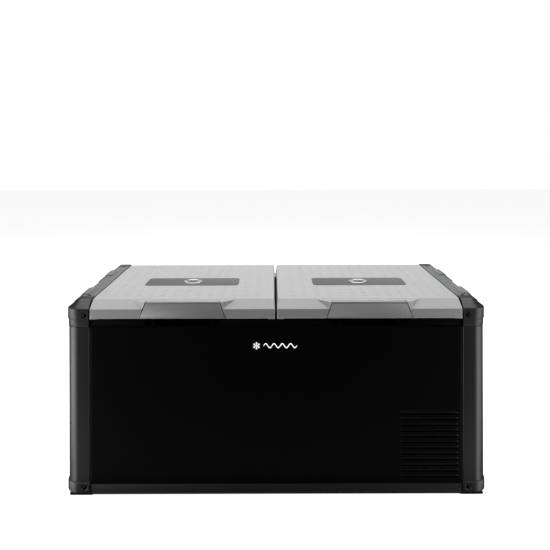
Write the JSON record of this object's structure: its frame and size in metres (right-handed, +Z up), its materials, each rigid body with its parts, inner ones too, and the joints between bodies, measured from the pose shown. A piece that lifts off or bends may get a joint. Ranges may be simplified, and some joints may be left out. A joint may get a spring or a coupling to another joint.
{
  "type": "compressor cooler",
  "caption": "Portable dual-zone compressor cooler box with two rear-hinged lids, latch levers, drop handles, corner posts and a vented compressor bay",
  "frame": {"origin": "on the floor under the middle of the box, at the feet's underside", "axes": "+X to the right seen from the front, +Y to the back, +Z up"},
  "size_m": [0.95, 0.467, 0.4255],
  "materials": {
    "panel_steel": "satin black powder coat",
    "tray_steel": "satin black powder coat",
    "post_aluminium": "satin charcoal anodised extrusion",
    "rail_aluminium": "textured grey powder coat",
    "cap_plastic": "fine moulded grain",
    "frame_plastic": "fine moulded grain",
    "lid_plastic": "fine moulded grain",
    "latch_plastic": "fine moulded grain",
    "badge_plastic": "satin",
    "seal_rubber": "soft black gasket",
    "foot_rubber": "matt",
    "handle_rubber": "soft-touch coating",
    "foam": "cut polyurethane foam",
    "liner_plastic": "smooth moulded",
    "evaporator_aluminium": "roll-bonded sheet",
    "compressor_enamel": "gloss enamel",
    "condenser_metal": "bare fins",
    "hinge_steel": "zinc plated",
    "fan_plastic": "moulded",
    "board": "solder resist",
    "control_plastic": "gloss black",
    "key_rubber": "silicone"
  },
  "bodies": {
    "cabinet": {"base_tray": "tray_steel", "bottom_cap_front_left": "cap_plastic", "bottom_cap_front_right": "cap_plastic", "bottom_cap_rear_left": "cap_plastic", "bottom_cap_rear_right": "cap_plastic", "compressor": "compressor_enamel", "condenser": "condenser_metal", "control_bezel": "control_plastic", "control_board": "board", "corner_post_front_left": "post_aluminium", "corner_post_front_right": "post_aluminium", "corner_post_rear_left": "post_aluminium", "corner_post_rear_right": "post_aluminium", "evaporator_left": "evaporator_aluminium", "evaporator_right": "evaporator_aluminium", "fan_frame": "fan_plastic", "foot_front_left": "foot_rubber", "foot_front_right": "foot_rubber", "foot_rear_left": "foot_rubber", "foot_rear_right": "foot_rubber", "front_panel": "panel_steel", "handle_bracket_front_left": "rail_aluminium", "handle_bracket_front_right": "rail_aluminium", "handle_bracket_rear_left": "rail_aluminium", "handle_bracket_rear_right": "rail_aluminium", "hinge_bracket_left": "cap_plastic", "hinge_bracket_right": "cap_plastic", "hinge_pin_left": "hinge_steel", "hinge_pin_right": "hinge_steel", "insulation": "foam", "left_panel": "panel_steel", "liner_left": "liner_plastic", "liner_right": "liner_plastic", "power_socket": "control_plastic", "rear_panel": "panel_steel", "right_panel": "panel_steel", "side_rail_left": "rail_aluminium", "side_rail_right": "rail_aluminium", "top_cap_front_left": "cap_plastic", "top_cap_front_right": "cap_plastic", "top_cap_rear_left": "cap_plastic", "top_cap_rear_right": "cap_plastic", "top_frame": "frame_plastic"},
    "lid_left": {"lid_shell_left": "lid_plastic", "lid_liner_left": "liner_plastic", "lid_seal_left": "seal_rubber", "badge_plate_left": "badge_plastic"},
    "latch_left": {"latch_lever_left": "latch_plastic"},
    "handle_left": {"handle_left": "handle_rubber"},
    "lid_right": {"lid_shell_right": "lid_plastic", "lid_liner_right": "liner_plastic", "lid_seal_right": "seal_rubber", "badge_plate_right": "badge_plastic"},
    "latch_right": {"latch_lever_right": "latch_plastic"},
    "handle_right": {"handle_right": "handle_rubber"},
    "fan": {"fan_rotor": "fan_plastic"},
    "key_power": {"key_power": "key_rubber"},
    "key_set": {"key_set": "key_rubber"},
    "key_down": {"key_down": "key_rubber"},
    "key_up": {"key_up": "key_rubber"}
  },
  "joints": [
    {"name": "lid_left_hinge", "type": "hinge", "parent": "cabinet", "child": "lid_left", "pos_m": [-0.20335, 0.2265, 0.3935], "axis": [-1, 0, 0], "range_deg": [0, 95]},
    {"name": "latch_left_pivot", "type": "hinge", "parent": "lid_left", "child": "latch_left", "pos_m": [-0.20335, -0.2198, 0.4155], "axis": [-1, 0, 0], "range_deg": [0, 25], "stiffness_Nm_per_rad": 0.6, "springref_deg": -14.32},
    {"name": "handle_left_pivot", "type": "hinge", "parent": "cabinet", "child": "handle_left", "pos_m": [-0.464, -0.026, 0.37], "axis": [0, 1, 0], "range_deg": [0, 110]},
    {"name": "lid_right_hinge", "type": "hinge", "parent": "cabinet", "child": "lid_right", "pos_m": [0.20335, 0.2265, 0.3935], "axis": [-1, 0, 0], "range_deg": [0, 95]},
    {"name": "latch_right_pivot", "type": "hinge", "parent": "lid_right", "child": "latch_right", "pos_m": [0.20335, -0.2198, 0.4155], "axis": [-1, 0, 0], "range_deg": [0, 25], "stiffness_Nm_per_rad": 0.6, "springref_deg": -14.32},
    {"name": "handle_right_pivot", "type": "hinge", "parent": "cabinet", "child": "handle_right", "pos_m": [0.464, -0.026, 0.37], "axis": [0, -1, 0], "range_deg": [0, 110]},
    {"name": "fan_spin", "type": "hinge", "parent": "cabinet", "child": "fan", "pos_m": [0.33, -0.1485, 0.1], "axis": [0, 1, 0], "continuous": true},
    {"name": "key_power_press", "type": "slide", "parent": "cabinet", "child": "key_power", "axis": [-1, 0, 0], "range_m": [0, 0.001], "stiffness_N_per_m": 600, "springref_m": -0.0005},
    {"name": "key_set_press", "type": "slide", "parent": "cabinet", "child": "key_set", "axis": [-1, 0, 0], "range_m": [0, 0.001], "stiffness_N_per_m": 600, "springref_m": -0.0005},
    {"name": "key_down_press", "type": "slide", "parent": "cabinet", "child": "key_down", "axis": [-1, 0, 0], "range_m": [0, 0.001], "stiffness_N_per_m": 600, "springref_m": -0.0005},
    {"name": "key_up_press", "type": "slide", "parent": "cabinet", "child": "key_up", "axis": [-1, 0, 0], "range_m": [0, 0.001], "stiffness_N_per_m": 600, "springref_m": -0.0005}
  ]
}
